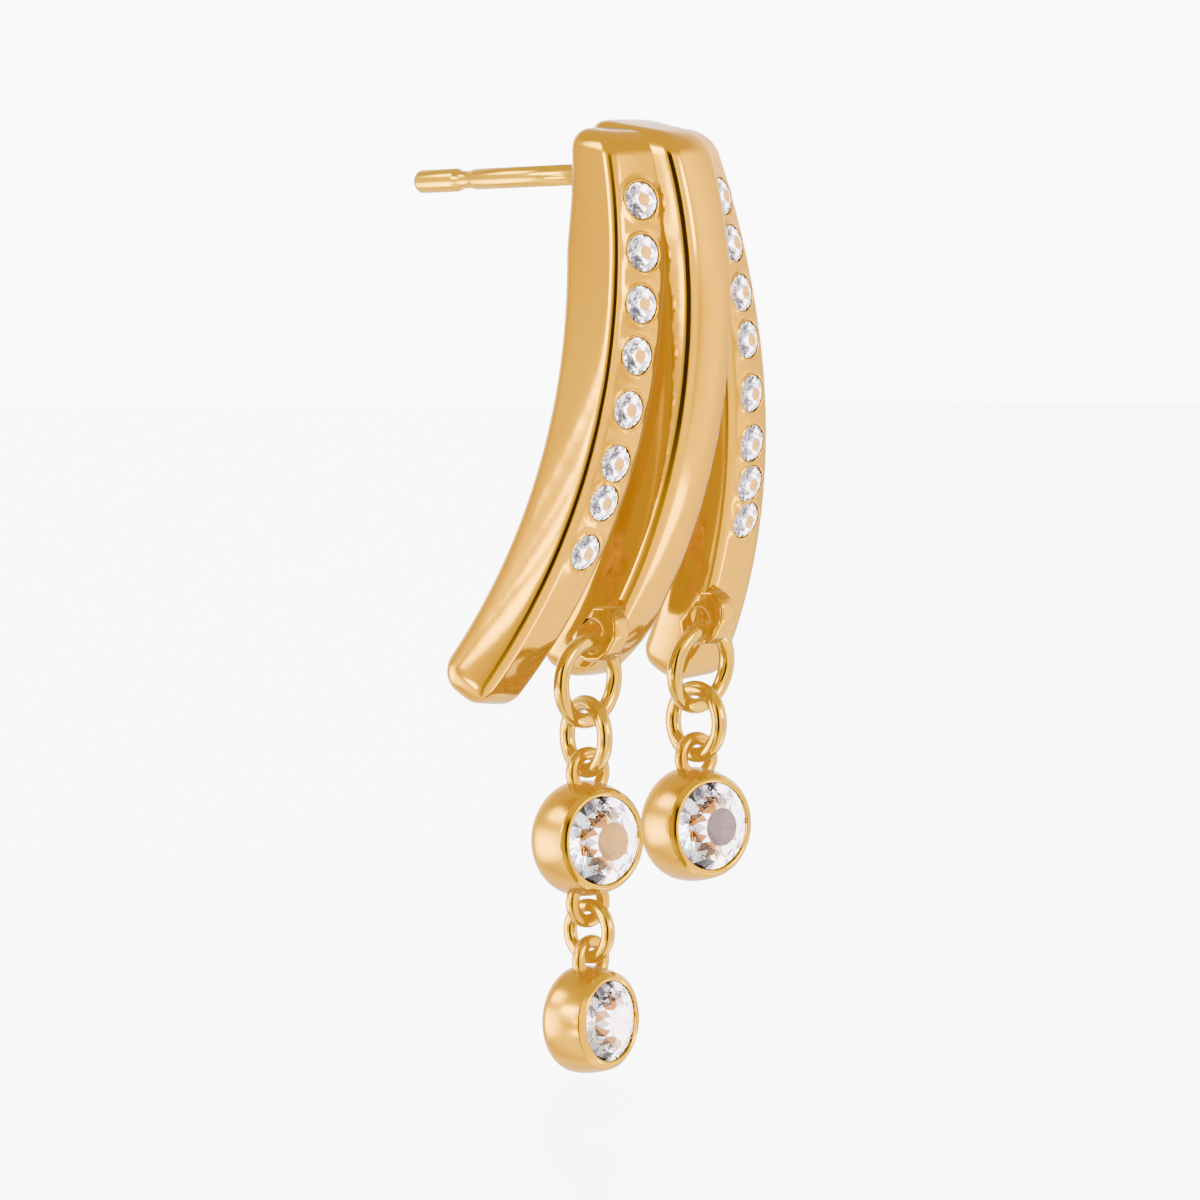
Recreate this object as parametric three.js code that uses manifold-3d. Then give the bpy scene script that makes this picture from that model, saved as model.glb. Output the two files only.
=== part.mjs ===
// A stud earring: three splayed, curved bars under one crown, with two crystal drops on jump rings.
// Millimetres. +Z is up and the front faces -Y. The origin is where the ear post leaves the crown's back.

import * as THREE from "three";
import { mergeVertices } from "three/addons/utils/BufferGeometryUtils.js";
import Module from "manifold-3d";

const wasm = await Module();
wasm.setup();

// ---- Driving dimensions ----

// Heights on the bars are drops: distances below the crown's flat top.
const CROWN_TOP = 1.7;
const CROWN_ROUNDING = 0.9;
const CROWN_STEPS = 3;

// A bar is a rounded trapezoid swept along an arc that bulges to the front.
const BAR_FACE_HALF = 1.3;
const BAR_FACE_RADIUS = 0.5;
const BAR_BACK_RADIUS = 0.7;
const BAR_CORNER_STEPS = 3;
const BAR_STATIONS = 16;
const BAR_END_ROUNDING = 0.85;
const BAR_END_STEPS = 4;

// Down to this drop the sections turn from level, under the flat crown, to square across the bar.
const LEVEL_DROP = 4;
const END_LIFT_LENGTH = 3;
// Near the crown the bars' backs are filled out, or thinned, by crownFill, until they are flush for the post.
const CROWN_FILL_DROP = 5;

// One row for each bar. Angles are in degrees: splay leans the bar sideways, yaw turns its face outward.
// reach is how far the face stands in front of the origin at the bulge, and bulgeDrop is the bulge's drop.
// The arc has one radius above the bulge and one below. Other pairs are at the crown and at the end.
// The crown's top rises by crownRise, in degrees, from front to back. endLift cuts the front of the bar's end
// higher than its back.
const BARS = {
  left: {
    side: -1, topOffset: 2.2, splay: [7.5, 12.3], yaw: [18, -8.5], length: 23.95, reach: 3.75,
    bulgeDrop: 8.7, radii: [28.4, 23.8], depth: [3.5, 2.4], backHalf: [1.87, 1.95],
    crownFill: -0.85, crownRise: 6, endLift: 0,
  },
  centre: {
    side: 0, topOffset: 0, splay: [0, 0], yaw: [0, 0], length: 23.6, reach: 4.85,
    bulgeDrop: 7.0, radii: [18, 23.9], depth: [3.3, 2.5], backHalf: [2.25, 1.86],
    crownFill: 0.85, crownRise: 8.5, endLift: 0.6,
  },
  right: {
    side: 1, topOffset: 2.2, splay: [7.5, 12.3], yaw: [18, -8.5], length: 23.5, reach: 3.75,
    bulgeDrop: 8.7, radii: [28.4, 23.8], depth: [3.5, 2.4], backHalf: [1.87, 1.95],
    crownFill: -0.85, crownRise: 6, endLift: 0,
  },
};

// Flush-set crystals: eight down each outer bar, in a low raised collar.
const SMALL_CRYSTAL = { radius: 0.78, tableRadius: 0.44, height: 0.28 };
const SMALL_COLLAR = { radius: 0.87, height: 0.09 };
const SMALL_CRYSTAL_ROOT = 0.4;
const SMALL_CRYSTAL_SIDES = 8;
const CRYSTAL_DROPS = {
  left: [2.8, 4.95, 7.05, 9.15, 11.35, 13.55, 15.15, 17.2],
  right: [2.7, 4.65, 6.7, 8.65, 10.9, 13.0, 14.7, 16.25],
};

// The ear post leaves the crown's back and slopes slightly down to its tip.
const POST = { length: 11.5, radius: 0.45, tipRadius: 0.5, tipLength: 2.25 };
const POST_GROOVE = { radius: 0.38, length: 1.0, shoulder: 0.25 };
// The tip's rounding: each row is [radius, distance short of the end], as shares of the tip's radius.
const POST_TIP_ROUNDING = [[1, 1], [0.87, 0.5], [0.5, 0.13]];
const POST_SLOPE = 2.5;
const POST_ROOT = 1.2;
const POST_SIDES = 16;

// A staple eye is a flat strap on the front of a bar, near its end, that the large ring passes under.
// Its outline rows are [forward, up, corner radius] from the middle of the ring's wire, and run clockwise.
const STAPLE = {
  width: 0.95, slotHalf: 0.62, slotRise: 0.7, slotForward: -0.2, slotLift: 0.22, cornerSteps: 4, slotSteps: 7,
};
const STAPLE_OUTLINE = [
  [-0.1, 1.6, 0.1], [0.55, 1.6, 0.4], [1.12, 1.1, 0.5], [1.15, 0.4, 0.8], [0.66, -0.34, 0.5],
  [0.2, -0.64, 0.3], [-0.5, -0.7, 0.4], [-1.15, -0.5, 0.1], [-1.35, 0.3, 0.1],
];

// Round wire rings: radius is to the middle of the wire.
const LARGE_RING = { radius: 1.66, wire: 0.335 };
const SMALL_RING = { radius: 1.4, wire: 0.335 };
const LINK_RING = { radius: 1.08, wire: 0.29 };
// Wire eyes soldered to the bezels. A reach is how far an eye stands out of its cup.
const EYE = { radius: 0.8, wire: 0.29 };
const LINK_EYE_REACH = 1.3;
const RING_STEPS = 26;
const EYE_STEPS = 16;
const WIRE_SIDES = 8;
// Linked wires hang this far clear of each other.
const LINK_GAP = 0.07;

// Bezel cups, closed at the back.
const UPPER_BEZEL = { radius: 2.42, depth: 2.4, stoneRadius: 1.85 };
const LOWER_BEZEL = { radius: 2.26, depth: 2.3, stoneRadius: 1.68 };
const BEZEL_LIP = 0.16;
const BEZEL_SIDES = 24;
const STONE_GAP = 0.06;
const STONE_SIDES = 12;
// Profiles from back to front. Each row is [radius, height]: shares of the cup's radius and half its depth.
const CUP_OUTSIDE = [
  [0.7, -1], [0.9, -0.86], [0.985, -0.58], [1, -0.25], [0.985, 0.15], [0.945, 0.55], [0.9, 0.85],
];
// The same for the seat cut in the cup and for the stone: shares of the seat's mouth and the stone's radius.
const CUP_SEAT = [[0, -0.4], [0.5, -0.35], [1, 0.35], [1, 1.5], [0, 1.5]];
const STONE_OUTSIDE = [[0, -0.2], [0.4, -0.18], [1, 0.55], [1, 0.8], [0.5, 1.4], [0, 1.4]];

// One row for each drop: the middle of its large ring, where its staple eye is along X, and turns in degrees.
// lean stands the large ring's top forward, in degrees.
// drift is how far the drop swings to +X for each millimetre it hangs below the ring.
// eyeReach is the reach of the eye that takes the small ring.
const DROPS = [
  {
    name: "centre", ring: [-2.6, -0.27, -21.02], lean: 4, eyeX: -1.8, eyeReach: 1.42, drift: 0.025,
    smallTurn: 75, bezelTurn: -11, linkTurn: 88, lowerTurn: 3,
  },
  {
    name: "side", ring: [4.25, -0.6, -20.8], lean: 9, eyeX: 4.45, eyeReach: 1.5, drift: 0,
    smallTurn: 84, bezelTurn: -11, linkTurn: null, lowerTurn: null,
  },
];

// ---- Helpers ----

const radians = THREE.MathUtils.degToRad;

function between([top, end], share) {
  return THREE.MathUtils.lerp(top, end, share);
}

// Rounds each corner of a polygon. corners is a list of [x, y, radius].
function roundedPolygon(corners, steps) {
  const points = [];
  corners.forEach(([x, y, radius], i) => {
    const corner = new THREE.Vector2(x, y);
    const [px, py] = corners[(i + corners.length - 1) % corners.length];
    const [nx, ny] = corners[(i + 1) % corners.length];
    const back = new THREE.Vector2(px, py).sub(corner).normalize();
    const ahead = new THREE.Vector2(nx, ny).sub(corner).normalize();
    const half = Math.acos(back.dot(ahead)) / 2;
    const toCentre = back.clone().add(ahead).normalize().multiplyScalar(radius / Math.sin(half));
    const centre = corner.clone().add(toCentre);
    const start = corner.clone().addScaledVector(back, radius / Math.tan(half)).sub(centre);
    const end = corner.clone().addScaledVector(ahead, radius / Math.tan(half)).sub(centre);
    const turn = Math.atan2(start.x * end.y - start.y * end.x, start.dot(end));
    for (let k = 0; k <= steps; k += 1) {
      points.push(start.clone().rotateAround(new THREE.Vector2(), (turn * k) / steps).add(centre));
    }
  });
  return points;
}

// Joins rings of equal point counts into one closed solid, with a fan over each end.
function loft(rings) {
  const count = rings[0].length;
  const positions = rings.flat();
  const indices = [];
  for (let i = 0; i < rings.length - 1; i += 1) {
    for (let j = 0; j < count; j += 1) {
      const k = (j + 1) % count;
      const a = i * count + j;
      const b = i * count + k;
      indices.push(a, b + count, b, a, a + count, b + count);
    }
  }
  for (const [ring, flip] of [[0, true], [rings.length - 1, false]]) {
    const middle = new THREE.Vector3();
    rings[ring].forEach((point) => middle.add(point));
    positions.push(middle.divideScalar(count));
    const hub = positions.length - 1;
    for (let j = 0; j < count; j += 1) {
      const a = ring * count + j;
      const b = ring * count + ((j + 1) % count);
      indices.push(hub, flip ? a : b, flip ? b : a);
    }
  }
  const geometry = new THREE.BufferGeometry();
  geometry.setFromPoints(positions);
  geometry.setIndex(indices);
  return geometry;
}

function toSolid(geometry) {
  const bare = geometry.clone();
  bare.deleteAttribute("normal");
  bare.deleteAttribute("uv");
  const merged = mergeVertices(bare, 1e-5);
  return new wasm.Manifold(new wasm.Mesh({
    numProp: 3,
    vertProperties: new Float32Array(merged.attributes.position.array),
    triVerts: new Uint32Array(merged.index.array),
  }));
}

function toGeometry(solid) {
  const mesh = solid.getMesh();
  const geometry = new THREE.BufferGeometry();
  geometry.setAttribute("position", new THREE.BufferAttribute(mesh.vertProperties, 3));
  geometry.setIndex(new THREE.BufferAttribute(mesh.triVerts, 1));
  return geometry;
}

// A solid of revolution about Y, from [radius, height] pairs that start and end on the axis.
function turned(profile, sides) {
  return new THREE.LatheGeometry(profile.map(([radius, height]) => new THREE.Vector2(radius, height)), sides);
}

// Scales a profile given in shares.
function sized(profile, radius, half) {
  return profile.map(([across, height]) => [across * radius, height * half]);
}

// ---- Bars ----

// The middle of a bar's front face, at a drop below the crown top.
function facePoint(bar, drop) {
  const [topSlope, endSlope] = bar.splay.map((angle) => Math.tan(radians(angle)));
  const sideways = topSlope * drop + ((endSlope - topSlope) * drop ** 2) / (2 * bar.length);
  const rise = drop - bar.bulgeDrop;
  const radius = bar.radii[rise < 0 ? 0 : 1];
  const y = -bar.reach + radius - Math.sqrt(radius ** 2 - rise ** 2);
  return new THREE.Vector3(bar.side * (bar.topOffset + sideways), y, CROWN_TOP - drop);
}

// The bar's own axes there: down, across (to +X) and inward (from the face to the back).
function faceAxes(bar, drop) {
  const step = 0.01;
  const along = facePoint(bar, drop + step).sub(facePoint(bar, drop - step)).normalize();
  const squareness = THREE.MathUtils.smoothstep(drop, 0, LEVEL_DROP);
  const down = new THREE.Vector3(0, 0, -1).lerp(along, squareness).normalize();
  const yaw = radians(between(bar.yaw, drop / bar.length)) * bar.side;
  const inward = new THREE.Vector3(-Math.sin(yaw), Math.cos(yaw), 0);
  inward.addScaledVector(down, -inward.dot(down)).normalize();
  const across = new THREE.Vector3().crossVectors(down, inward);
  return { down, across, inward };
}

// One section of a bar. The insets, 0 to 1, draw its sides and its depth in towards its middle.
function barRing(bar, drop, widthInset, depthInset) {
  const share = drop / bar.length;
  const fill = bar.crownFill * (1 - THREE.MathUtils.smoothstep(drop, 0, CROWN_FILL_DROP));
  const depth = between(bar.depth, share) + fill;
  const backHalf = between(bar.backHalf, share);
  const face = facePoint(bar, drop);
  const { across, inward } = faceAxes(bar, drop);
  const section = roundedPolygon([
    [-BAR_FACE_HALF, 0, BAR_FACE_RADIUS],
    [BAR_FACE_HALF, 0, BAR_FACE_RADIUS],
    [backHalf, depth, BAR_BACK_RADIUS],
    [-backHalf, depth, BAR_BACK_RADIUS],
  ], BAR_CORNER_STEPS);
  const rise = Math.tan(radians(bar.crownRise)) * (1 - THREE.MathUtils.smoothstep(drop, 0, LEVEL_DROP));
  const lift = bar.endLift * THREE.MathUtils.smoothstep(drop, bar.length - END_LIFT_LENGTH, bar.length);
  return section.map((point) => {
    const u = point.x * (1 - widthInset);
    const v = depth / 2 + (point.y - depth / 2) * (1 - depthInset);
    const placed = face.clone().addScaledVector(across, u).addScaledVector(inward, v);
    placed.z += v * rise + lift * (1 - v / depth);
    return placed;
  });
}

function barSolid(bar) {
  const rings = [];
  for (let i = 0; i < CROWN_STEPS; i += 1) {
    const angle = (Math.PI / 2) * (i / CROWN_STEPS);
    const inset = CROWN_ROUNDING * (1 - Math.sin(angle));
    const depthInset = (2 * inset) / (bar.depth[0] + bar.crownFill);
    rings.push(barRing(bar, CROWN_ROUNDING * (1 - Math.cos(angle)), inset / bar.backHalf[0], depthInset));
  }
  const straight = bar.length - BAR_END_ROUNDING;
  for (let i = 0; i <= BAR_STATIONS; i += 1) {
    rings.push(barRing(bar, CROWN_ROUNDING + ((straight - CROWN_ROUNDING) * i) / BAR_STATIONS, 0, 0));
  }
  for (let i = 1; i <= BAR_END_STEPS; i += 1) {
    const angle = (Math.PI / 2) * (i / BAR_END_STEPS);
    const inset = BAR_END_ROUNDING * (1 - Math.cos(angle));
    const drop = straight + BAR_END_ROUNDING * Math.sin(angle);
    rings.push(barRing(bar, drop, inset / bar.backHalf[1], (2 * inset) / bar.depth[1]));
  }
  return toSolid(loft(rings));
}

// ---- Small crystals, ear post and staple eyes ----

function crystalSolid(bar, drop) {
  const { radius, tableRadius, height } = SMALL_CRYSTAL;
  const geometry = turned([
    [0, -SMALL_CRYSTAL_ROOT], [SMALL_COLLAR.radius, -SMALL_CRYSTAL_ROOT],
    [SMALL_COLLAR.radius, SMALL_COLLAR.height], [radius, SMALL_COLLAR.height], [tableRadius, height],
    [0, height],
  ], SMALL_CRYSTAL_SIDES);
  const { down, across, inward } = faceAxes(bar, drop);
  const frame = new THREE.Matrix4().makeBasis(across, inward.clone().negate(), down);
  frame.setPosition(facePoint(bar, drop));
  return toSolid(geometry.applyMatrix4(frame));
}

function postSolid() {
  const { length, radius, tipRadius, tipLength } = POST;
  const grooveEnd = length - tipLength;
  const grooveStart = grooveEnd - POST_GROOVE.length;
  const geometry = turned([
    [0, -POST_ROOT], [radius, -POST_ROOT], [radius, grooveStart],
    [POST_GROOVE.radius, grooveStart + POST_GROOVE.shoulder],
    [POST_GROOVE.radius, grooveEnd - POST_GROOVE.shoulder], [tipRadius, grooveEnd],
    ...POST_TIP_ROUNDING.map(([across, short]) => [across * tipRadius, length - short * tipRadius]),
    [0, length],
  ], POST_SIDES);
  return toSolid(geometry.rotateX(radians(-POST_SLOPE)));
}

// Where a drop's large ring passes under its staple: the middle of the wire.
function stapleSlot(row) {
  const offset = row.eyeX - row.ring[0];
  const up = Math.sqrt(LARGE_RING.radius ** 2 - offset ** 2);
  const lean = radians(row.lean);
  return new THREE.Vector3(row.eyeX, row.ring[1] - up * Math.sin(lean), row.ring[2] + up * Math.cos(lean));
}

function stapleSolid(row) {
  const { width, slotHalf, slotRise, slotForward, slotLift, cornerSteps, slotSteps } = STAPLE;
  const outline = new THREE.Shape(roundedPolygon(STAPLE_OUTLINE, cornerSteps).reverse());
  const slot = new THREE.Path();
  slot.absellipse(slotForward, slotLift, slotHalf, slotRise, 0, Math.PI * 2, false);
  outline.holes.push(slot);
  const settings = { depth: width, bevelEnabled: false, curveSegments: slotSteps };
  const geometry = new THREE.ExtrudeGeometry(outline, settings);
  const frame = new THREE.Matrix4().makeBasis(
    new THREE.Vector3(0, -1, 0), new THREE.Vector3(0, 0, 1), new THREE.Vector3(-1, 0, 0),
  );
  frame.setPosition(stapleSlot(row).add(new THREE.Vector3(width / 2, 0, 0)));
  const passage = { radius: LARGE_RING.radius, wire: LARGE_RING.wire + LINK_GAP };
  const clearance = ringSolid(passage, RING_STEPS).rotate([90 + row.lean, 0, 0]).translate(row.ring);
  return toSolid(geometry.applyMatrix4(frame)).subtract(clearance);
}

// ---- Rings, bezels and stones ----

function ringSolid({ radius, wire }, steps) {
  return toSolid(new THREE.TorusGeometry(radius, wire, WIRE_SIDES, steps));
}

// A bezel cup with its face to -Y. eyes is a list of [direction, reach]: 1 stands up and -1 hangs down.
// The seat for the stone is cut last.
function bezelSolid(bezel, eyes) {
  const { radius, depth, stoneRadius } = bezel;
  const half = depth / 2;
  const mouth = stoneRadius + STONE_GAP;
  const cup = turned([
    [0, -half], ...sized(CUP_OUTSIDE, radius, half), [mouth + BEZEL_LIP, half], [0, half],
  ], BEZEL_SIDES);
  const seat = turned(sized(CUP_SEAT, mouth, half), BEZEL_SIDES);
  let solid = toSolid(cup.rotateX(Math.PI));
  for (const [direction, reach] of eyes) {
    const eye = ringSolid(EYE, EYE_STEPS).rotate([90, 0, 0]);
    const height = radius + reach - EYE.radius - EYE.wire;
    solid = solid.add(eye.translate([0, 0, direction * height]));
  }
  return solid.subtract(toSolid(seat.rotateX(Math.PI)));
}

// A round cut stone that sits in a bezel: table, crown, girdle and pavilion.
function stoneSolid({ depth, stoneRadius }) {
  return toSolid(turned(sized(STONE_OUTSIDE, stoneRadius, depth / 2), STONE_SIDES).rotateX(Math.PI));
}

// ---- Assembly ----

const earring = new THREE.Group();
const gold = new THREE.MeshStandardMaterial({ color: 0xe9b65a, roughness: 0.1, metalness: 1 });
const crystal = new THREE.MeshStandardMaterial({ color: 0xf3edf2, roughness: 0.05, metalness: 0 });

function addMesh(name, solid, material, position, turn) {
  const mesh = new THREE.Mesh(toGeometry(solid), material);
  mesh.name = name;
  mesh.position.copy(position);
  mesh.rotation.z = radians(turn);
  earring.add(mesh);
}

function barFrame() {
  const bars = Object.values(BARS).map(barSolid);
  const crystals = Object.entries(CRYSTAL_DROPS).flatMap(([name, drops]) => (
    drops.map((drop) => crystalSolid(BARS[name], drop))
  ));
  const pieces = [...bars, ...crystals, postSolid(), ...DROPS.map(stapleSolid)];
  return pieces.reduce((joined, piece) => joined.add(piece));
}

// Hangs one drop, from its large ring down. height is always the middle of the piece being placed.
function hangDrop(row) {
  const lean = radians(row.lean);
  const [x, y, top] = row.ring;
  const upright = (ring) => ringSolid(ring, RING_STEPS).rotate([90, 0, 0]);
  const leaning = upright(LARGE_RING).rotate([row.lean, 0, 0]);
  addMesh(`${row.name}_large_ring`, leaning, gold, new THREE.Vector3(...row.ring), 0);
  const hungY = y + LARGE_RING.radius * Math.sin(lean);
  let height = top - LARGE_RING.radius * Math.cos(lean);
  const ringFoot = height;
  const place = (z) => new THREE.Vector3(x + row.drift * (ringFoot - z), hungY, z);
  height -= SMALL_RING.radius - LARGE_RING.wire - SMALL_RING.wire - LINK_GAP;
  addMesh(`${row.name}_small_ring`, upright(SMALL_RING), gold, place(height), row.smallTurn);
  const ringDrop = SMALL_RING.radius + row.eyeReach - 2 * EYE.wire - SMALL_RING.wire - LINK_GAP;
  height -= ringDrop + UPPER_BEZEL.radius;
  const hasLower = row.lowerTurn !== null;
  const upperName = hasLower ? `${row.name}_upper` : row.name;
  const upperEyes = hasLower ? [[1, row.eyeReach], [-1, LINK_EYE_REACH]] : [[1, row.eyeReach]];
  addMesh(`${upperName}_bezel`, bezelSolid(UPPER_BEZEL, upperEyes), gold, place(height), row.bezelTurn);
  addMesh(`${upperName}_stone`, stoneSolid(UPPER_BEZEL), crystal, place(height), row.bezelTurn);
  if (!hasLower) {
    return;
  }
  const linkDrop = LINK_EYE_REACH + LINK_RING.radius - 2 * EYE.wire - LINK_RING.wire - LINK_GAP;
  height -= UPPER_BEZEL.radius + linkDrop;
  addMesh(`${row.name}_link_ring`, upright(LINK_RING), gold, place(height), row.linkTurn);
  height -= LOWER_BEZEL.radius + linkDrop;
  const lowerBezel = bezelSolid(LOWER_BEZEL, [[1, LINK_EYE_REACH]]);
  addMesh(`${row.name}_lower_bezel`, lowerBezel, gold, place(height), row.lowerTurn);
  addMesh(`${row.name}_lower_stone`, stoneSolid(LOWER_BEZEL), crystal, place(height), row.lowerTurn);
}

addMesh("bar_frame", barFrame(), gold, new THREE.Vector3(), 0);
DROPS.forEach(hangDrop);

export default earring;
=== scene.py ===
"""A gold plated drop earring: three bars under one crown, small crystals, and bezel drops on jump rings."""
import math

import bpy
from mathutils import Matrix, Vector


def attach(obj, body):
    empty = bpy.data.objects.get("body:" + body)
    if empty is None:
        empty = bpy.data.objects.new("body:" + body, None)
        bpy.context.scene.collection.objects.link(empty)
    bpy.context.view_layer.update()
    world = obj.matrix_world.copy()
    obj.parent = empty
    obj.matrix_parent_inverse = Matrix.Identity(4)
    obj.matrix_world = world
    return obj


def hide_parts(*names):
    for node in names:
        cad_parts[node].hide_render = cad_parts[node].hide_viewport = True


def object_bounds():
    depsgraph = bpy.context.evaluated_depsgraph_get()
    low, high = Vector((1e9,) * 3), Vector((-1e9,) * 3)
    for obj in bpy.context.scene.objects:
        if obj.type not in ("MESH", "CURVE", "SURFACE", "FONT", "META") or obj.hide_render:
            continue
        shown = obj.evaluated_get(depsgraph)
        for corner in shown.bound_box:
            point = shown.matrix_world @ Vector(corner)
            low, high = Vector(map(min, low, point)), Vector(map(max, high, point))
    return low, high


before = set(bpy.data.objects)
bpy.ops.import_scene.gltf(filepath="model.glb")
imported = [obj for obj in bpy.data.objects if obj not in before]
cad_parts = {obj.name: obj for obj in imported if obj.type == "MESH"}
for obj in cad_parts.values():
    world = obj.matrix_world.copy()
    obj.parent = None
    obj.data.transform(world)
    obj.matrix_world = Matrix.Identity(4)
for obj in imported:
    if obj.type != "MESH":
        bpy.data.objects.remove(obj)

CAD_BOX = [list(corner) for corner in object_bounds()]
MM = 0.001

# ---------------------------------------------------------------- sizes, in millimetres

CROWN_TOP = 1.7
CROWN_ROUNDING = 0.9
CROWN_FILL_DROP = 5
LEVEL_DROP = 4
BAR_FACE_HALF = 1.3
BAR_FACE_RADIUS = 0.5
BAR_BACK_RADIUS = 0.7
BAR_END_ROUNDING = 0.85
END_LIFT_LENGTH = 3
# How finely the bars are stepped: round their corners, along their four flats, at the crown and at the end,
# and then how far apart the rings between are, and how far the slope looks each way.
CORNER_STEPS = 10
FLAT_STEPS = (30, 8, 6, 8)
CROWN_STEPS = 9
END_STEPS = 12
STATION_STEP = 0.09
SLOPE_STEP = 0.01

OUTER_BAR = dict(top_offset=2.2, splay=(7.5, 12.3), yaw=(18, -8.5), reach=3.75, bulge_drop=8.7,
                 radii=(28.4, 23.8), depth=(3.5, 2.4), back_half=(1.87, 1.95), crown_fill=-0.85, crown_rise=6,
                 end_lift=0, face_pillow=0.03, flank_pillow=0.12)
BARS = {
    "left": dict(OUTER_BAR, side=-1, length=23.95),
    "centre": dict(side=0, top_offset=0, splay=(0, 0), yaw=(0, 0), length=23.6, reach=4.85, bulge_drop=7.0,
                   radii=(18, 23.9), depth=(3.3, 2.5), back_half=(2.25, 1.86), crown_fill=0.85,
                   crown_rise=8.5, end_lift=0.6, face_pillow=0.16, flank_pillow=0.06),
    "right": dict(OUTER_BAR, side=1, length=23.5),
}
CRYSTAL_DROPS = {
    "left": [2.8, 4.95, 7.05, 9.15, 11.35, 13.55, 15.15, 17.2],
    "right": [2.7, 4.65, 6.7, 8.65, 10.9, 13.0, 14.7, 16.25],
}
SMALL_CRYSTAL = 0.75
SMALL_CUT = dict(crown=0.2, pavilion=0.45, table=0.4, sectors=8)
CRYSTAL_LIFT = 0.03
SEAT_GAP = 0.045
SEAT_REACH = 2
# The metal swells round each crystal, from start to foot, and is flat again near the face's edges.
SWELL = dict(height=0.03, start=0.88, foot=1.15, dish=0.6, dish_radius=0.8, edge=0.2)
COLLAR = dict(lip=0.055, lip_rise=0.005, lip_arc=(180, 290), skirt=0.075, skirt_width=0.08,
              skirt_rise=0.022, proud=0.004)
# The collar's seat inside its mouth, and its wall at the mouth, as (radius, y) and as y.
COLLAR_SEAT = [(0, 0.5), (0.35, 0.45), (0.675, 0.2)]
COLLAR_WALL = (0.12, -0.02)
COLLAR_BACK = dict(beyond=0.2, y=0.1, foot_radius=0.5, foot_depth=0.05)
COLLAR_STEPS = 8
SKIRT_STEPS = 5

POST = dict(length=11.5, radius=0.45, root=-1.2, tip_radius=0.5, tip_length=2.25, tip_round=0.55,
            groove_radius=0.38, groove_length=1.0, groove_ease=0.25)
# Its softened edges, as (narrower by, further out by): into the groove and out of it.
POST_EDGES = [(0, -0.1), (0.02, 0)], [(0.03, -0.06), (0, 0.08)]
POST_TIP_STEPS = 8
POST_SLOPE = 2.5
TURNED_SIDES = 48
CUP_SIDES = 96

# A staple's outline is (forward, up, corner radius) from the middle of the ring's wire.
STAPLE = dict(width=0.95, slot_half=0.62, slot_rise=0.7, slot_forward=-0.2, slot_lift=0.22, soft=0.16,
              slot_soft=0.5)
STAPLE_STEPS = dict(corner=8, flat=3, outer=4, slot=3)
STAPLE_OUTLINE = [
    (-0.1, 1.6, 0.1), (0.55, 1.6, 0.4), (1.12, 1.1, 0.5), (1.15, 0.4, 0.8), (0.66, -0.34, 0.5),
    (0.2, -0.64, 0.3), (-0.5, -0.7, 0.4), (-1.15, -0.5, 0.1), (-1.35, 0.3, 0.1),
]
LARGE_RING = (1.66, 0.335)
SMALL_RING = (1.4, 0.335)
LINK_RING = (1.08, 0.29)
RING_STEPS = (120, 28)
EYE = (0.8, 0.29)
EYE_STEPS = (72, 24)
LINK_EYE_REACH = 1.3
LINK_GAP = 0.07
UPPER_BEZEL = dict(radius=2.42, depth=2.4, stone=1.85)
LOWER_BEZEL = dict(radius=2.26, depth=2.3, stone=1.68)
# From back to front: (radius, y), as shares of the cup's radius and of half its depth.
CUP_OUTSIDE = [(0.62, 1.0), (0.8, 0.95), (0.92, 0.8), (0.985, 0.55), (1.0, 0.25), (0.985, -0.15),
               (0.945, -0.55), (0.905, -0.82)]
# Over the stone's edge: (how far beyond the stone, share of the way to the front).
CUP_LIP = [(0.17, 0.98), (0.085, 1.0), (0.0, 0.965), (-0.03, 0.91)]
# Inside: the wall, as shares of the way to the front, and the floor, as shares of the stone and of half the
# depth.
CUP_WALL = (0.87, 0.4)
CUP_FLOOR = [(0.4, 0.5), (0, 0.6)]
CUP_STEPS = 6
LIP_STEPS = 5
# The lip is polished brighter than the wall, from this share of the way to the front.
LIP_SHARE = 0.8
STONE_GAP = 0.05
STONE_SEAT = 0.8
STONE_CUT = dict(crown=0.7, pavilion=1.2, table=0.44, sectors=16)

# Every brilliant's proportions: two rounds of crown facets as (share of the way out from the table, swell),
# the girdle's half height and the ring of pavilion corners as shares of the radius.
CROWN_ROUNDS = ((0.3, 0.05), (0.62, 0.04))
GIRDLE = 0.03
BELLY = 0.42
# A foil is spread and set back a little from its stone, and its own back from its front.
FOIL = dict(spread=1.012, clear=0.02, back_spread=1.008, wall=0.04)

DROPS = {
    "centre": dict(ring=(-2.6, -0.27, -21.02), lean=4, eye_x=-1.8, eye_reach=1.42, drift=0.025,
                   small_turn=75, bezel_turn=-11, link_turn=88, lower_turn=3),
    "side": dict(ring=(4.25, -0.6, -20.8), lean=9, eye_x=4.45, eye_reach=1.5, drift=0,
                 small_turn=84, bezel_turn=-11),
}

# ---------------------------------------------------------------- the bars' own curves


def between(pair, share):
    return pair[0] + (pair[1] - pair[0]) * share


def smooth_share(value, low, high):
    share = min(max((value - low) / (high - low), 0), 1)
    return share * share * (3 - 2 * share)


def face_point(bar, drop):
    """The middle of a bar's front face, this far below the crown's top."""
    top_slope, end_slope = (math.tan(math.radians(angle)) for angle in bar["splay"])
    sideways = top_slope * drop + (end_slope - top_slope) * drop ** 2 / (2 * bar["length"])
    rise = drop - bar["bulge_drop"]
    radius = bar["radii"][0 if rise < 0 else 1]
    y = -bar["reach"] + radius - math.sqrt(radius ** 2 - rise ** 2)
    return Vector((bar["side"] * (bar["top_offset"] + sideways), y, CROWN_TOP - drop))


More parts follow.
